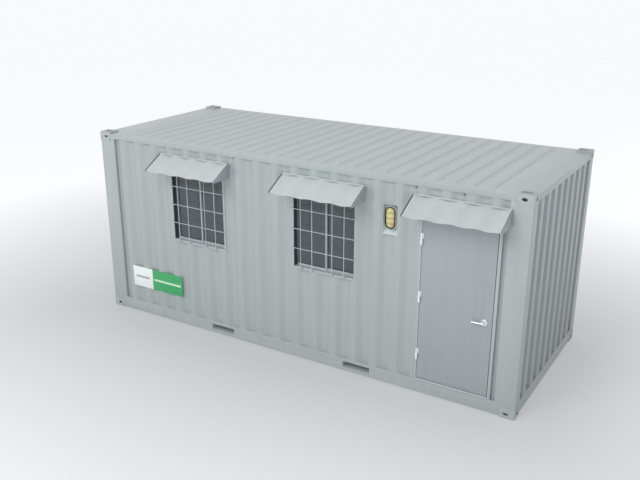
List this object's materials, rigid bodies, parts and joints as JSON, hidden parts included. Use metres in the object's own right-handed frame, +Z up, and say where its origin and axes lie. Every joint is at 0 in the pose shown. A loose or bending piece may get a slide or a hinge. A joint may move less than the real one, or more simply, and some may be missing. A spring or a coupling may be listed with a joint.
{
  "type": "portable site cabin",
  "caption": "Steel box cabin on corner castings with barred sliding windows, corrugated awnings, a hinged steel door, a wall lamp and fork pockets.",
  "frame": {"origin": "centre of the footprint, at the level of the undersides of the bottom corner castings", "axes": "+X along the cabin's length with the door at its +X end, -Y out of the door side, +Z up"},
  "size_m": [6.058, 2.748, 2.591],
  "materials": {
    "frame_paint": "satin",
    "wall_paint": "satin",
    "roof_paint": "satin",
    "awning_paint": "satin",
    "door_paint": "satin",
    "trim_paint": "satin",
    "grille_paint": "satin",
    "hinge_steel": "satin",
    "handle_steel": "satin",
    "window_aluminium": "satin",
    "window_glass": "gloss",
    "lamp_black": "matte",
    "lamp_amber": "gloss",
    "sign_white": "satin",
    "sign_green": "satin",
    "floor_plywood": "matte",
    "lining_board": "matte"
  },
  "bodies": {
    "cabin": {"bottom_corner_castings": "frame_paint", "top_corner_castings": "frame_paint", "corner_posts": "frame_paint", "front_bottom_rail": "frame_paint", "back_bottom_rail": "frame_paint", "end_bottom_rails": "frame_paint", "top_side_rails": "frame_paint", "top_end_rails": "frame_paint", "fork_pockets": "frame_paint", "floor_bearers": "frame_paint", "floor_boards": "floor_plywood", "roof_sheet": "roof_paint", "roof_end_plates": "roof_paint", "front_wall": "wall_paint", "wall_over_door": "wall_paint", "wall_beside_door": "wall_paint", "back_wall": "wall_paint", "left_end_wall": "wall_paint", "right_end_wall": "wall_paint", "front_lining": "lining_board", "lining_over_door": "lining_board", "lining_beside_door": "lining_board", "back_lining": "lining_board", "end_linings": "lining_board", "ceiling_lining": "lining_board", "left_window_surround": "trim_paint", "middle_window_surround": "trim_paint", "window_frames": "window_aluminium", "window_sashes": "window_aluminium", "window_glass": "window_glass", "left_window_grille": "grille_paint", "middle_window_grille": "grille_paint", "left_window_awning": "awning_paint", "middle_window_awning": "awning_paint", "door_awning": "awning_paint", "door_frame": "trim_paint", "frame_hinges": "hinge_steel", "lamp_niche": "wall_paint", "lamp_body": "lamp_black", "lamp_lens": "lamp_amber", "white_sign_panel": "sign_white", "green_sign_panel": "sign_green"},
    "door": {"door_leaf": "door_paint", "door_hinges": "hinge_steel", "lock_roses": "handle_steel"},
    "lever": {"door_levers": "handle_steel"}
  },
  "joints": [
    {"name": "door_swing", "type": "hinge", "parent": "cabin", "child": "door", "pos_m": [1.8275, -1.228, 1.2], "axis": [0, 0, -1], "range_deg": [0, 110]},
    {"name": "lever_turn", "type": "hinge", "parent": "door", "child": "lever", "pos_m": [2.603, -1.191, 1.091], "axis": [0, -1, 0], "range_deg": [0, 40], "stiffness_Nm_per_rad": 3, "springref_deg": -20.05}
  ]
}
